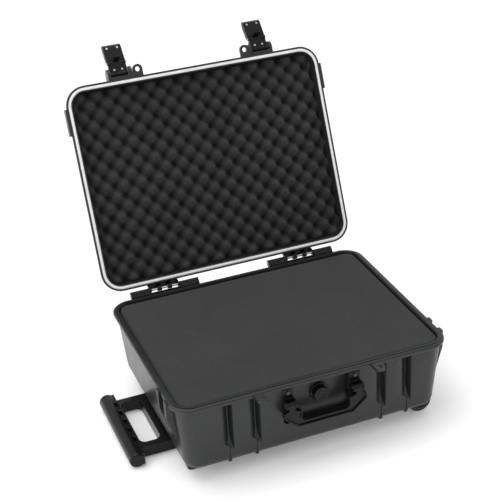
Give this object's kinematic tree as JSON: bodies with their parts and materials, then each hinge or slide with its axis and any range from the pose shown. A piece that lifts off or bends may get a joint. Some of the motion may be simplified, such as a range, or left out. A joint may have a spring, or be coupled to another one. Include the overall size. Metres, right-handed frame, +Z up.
{
  "type": "hard equipment case",
  "caption": "Hard equipment case with a foam-lined base and lid, double latches, a fold-down carrying handle, a pressure valve, a sliding pull handle and wheels.",
  "frame": {"origin": "on the floor under the middle of the base, on the underside of the trolley tray", "axes": "+X along the case towards its wheel end, -Y towards its front with the latches and the carrying handle, +Z up"},
  "size_m": [0.6745, 0.7532, 0.6812],
  "materials": {
    "case_plastic": "fine texture, satin",
    "black_plastic": "satin",
    "foam": "open-cell, dull",
    "seal": "smooth, glossy",
    "steel": "satin",
    "black_steel": "satin black",
    "tyre": "dull",
    "pad_rubber": "dull"
  },
  "bodies": {
    "base": {"base_shell": "case_plastic", "foam_pad": "foam", "pluck_foam": "foam", "hinge_bar_left": "black_plastic", "hinge_bar_right": "black_plastic", "hinge_pin_left": "steel", "hinge_pin_right": "steel", "hinge_screws": "steel", "handle_bracket_left": "black_plastic", "handle_bracket_right": "black_plastic", "handle_pin_left": "steel", "handle_pin_right": "steel", "bracket_screws": "black_steel", "valve_body": "black_plastic", "valve_nut": "black_plastic", "trolley_tray": "black_plastic", "tray_screws": "black_steel", "wheel_housing_front": "black_plastic", "wheel_housing_rear": "black_plastic", "wheel_axle_front": "steel", "wheel_axle_rear": "steel", "foot_pads": "pad_rubber"},
    "lid": {"lid_shell": "case_plastic", "lid_seal": "seal", "lid_foam": "foam", "hinge_leaf_left": "black_plastic", "hinge_leaf_right": "black_plastic", "leaf_screws": "steel", "latch_pivot_pin_left": "steel", "latch_pivot_pin_right": "steel"},
    "carry_handle": {"carry_handle": "black_plastic"},
    "pull_handle": {"pull_slide": "black_plastic", "pull_grip": "black_plastic"},
    "valve_knob": {"valve_knob": "black_plastic"},
    "latch_link_left": {"latch_link_left": "black_plastic", "link_screws_left": "steel", "latch_joint_pin_left": "steel"},
    "latch_lever_left": {"latch_lever_left": "black_plastic", "lever_screws_left": "steel"},
    "latch_link_right": {"latch_link_right": "black_plastic", "link_screws_right": "steel", "latch_joint_pin_right": "steel"},
    "latch_lever_right": {"latch_lever_right": "black_plastic", "lever_screws_right": "steel"},
    "wheel_front": {"wheel_hub_front": "black_plastic", "wheel_tyre_front": "tyre"},
    "wheel_rear": {"wheel_hub_rear": "black_plastic", "wheel_tyre_rear": "tyre"}
  },
  "joints": [
    {"name": "lid_hinge", "type": "hinge", "parent": "base", "child": "lid", "pos_m": [0, 0.2423, 0.1898], "axis": [1, 0, 0], "range_deg": [0, 113]},
    {"name": "carry_handle_pivot", "type": "hinge", "parent": "base", "child": "carry_handle", "pos_m": [0.009, -0.238, 0.144], "axis": [-1, 0, 0], "range_deg": [0, 95]},
    {"name": "pull_handle_slide", "type": "slide", "parent": "base", "child": "pull_handle", "axis": [-1, 0, 0], "range_m": [-0.06, 0.3]},
    {"name": "valve_turn", "type": "hinge", "parent": "base", "child": "valve_knob", "pos_m": [0.009, -0.212, 0.139], "axis": [0, -1, 0], "range_deg": [0, 180]},
    {"name": "latch_link_left_pivot", "type": "hinge", "parent": "lid", "child": "latch_link_left", "pos_m": [-0.167, 0.4446, 0.63005], "axis": [1, 0, 0], "range_deg": [0, 89]},
    {"name": "latch_lever_left_pivot", "type": "hinge", "parent": "latch_link_left", "child": "latch_lever_left", "pos_m": [-0.167, 0.45952, 0.65135], "axis": [1, 0, 0], "range_deg": [-45, 25]},
    {"name": "latch_link_right_pivot", "type": "hinge", "parent": "lid", "child": "latch_link_right", "pos_m": [0.167, 0.4446, 0.63005], "axis": [1, 0, 0], "range_deg": [0, 89]},
    {"name": "latch_lever_right_pivot", "type": "hinge", "parent": "latch_link_right", "child": "latch_lever_right", "pos_m": [0.167, 0.45952, 0.65135], "axis": [1, 0, 0], "range_deg": [-45, 25]},
    {"name": "wheel_front_spin", "type": "hinge", "parent": "base", "child": "wheel_front", "pos_m": [0.252, -0.177, 0.026], "axis": [0, 1, 0], "continuous": true},
    {"name": "wheel_rear_spin", "type": "hinge", "parent": "base", "child": "wheel_rear", "pos_m": [0.252, 0.177, 0.026], "axis": [0, 1, 0], "continuous": true}
  ]
}
